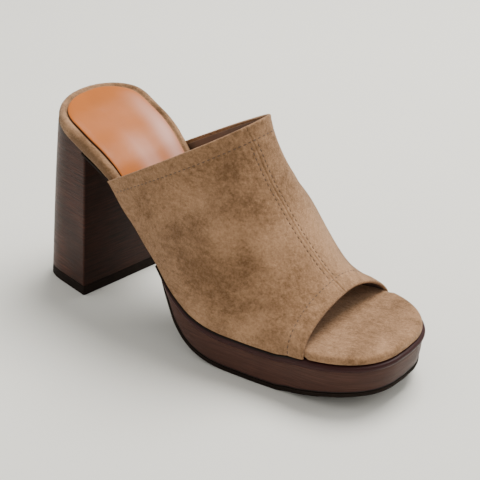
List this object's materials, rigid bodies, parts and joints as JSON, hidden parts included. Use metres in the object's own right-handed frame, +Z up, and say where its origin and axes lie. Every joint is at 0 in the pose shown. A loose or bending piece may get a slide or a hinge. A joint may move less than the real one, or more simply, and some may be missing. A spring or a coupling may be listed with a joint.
{
  "type": "heeled platform mule",
  "caption": "Open-toe platform mule with a suede upper, a smooth leather sock, a tapered platform and a flared block heel; right foot.",
  "frame": {"origin": "bottom centre of the shoe's bounding box, on the floor", "axes": "+X from the heel to the toe, +Y to the wearer's left (the inner side of this right shoe), +Z up"},
  "size_m": [0.2358, 0.09, 0.128],
  "materials": {
    "suede": "napped suede",
    "smooth_leather": "satin",
    "stacked_wood": "dark satin, stacked layers",
    "rubber": "matte"
  },
  "bodies": {
    "root": {"outsole": "rubber", "platform": "stacked_wood", "heel_block": "stacked_wood", "top_lift": "rubber", "footbed": "suede", "sock": "smooth_leather", "upper": "suede"}
  },
  "joints": []
}
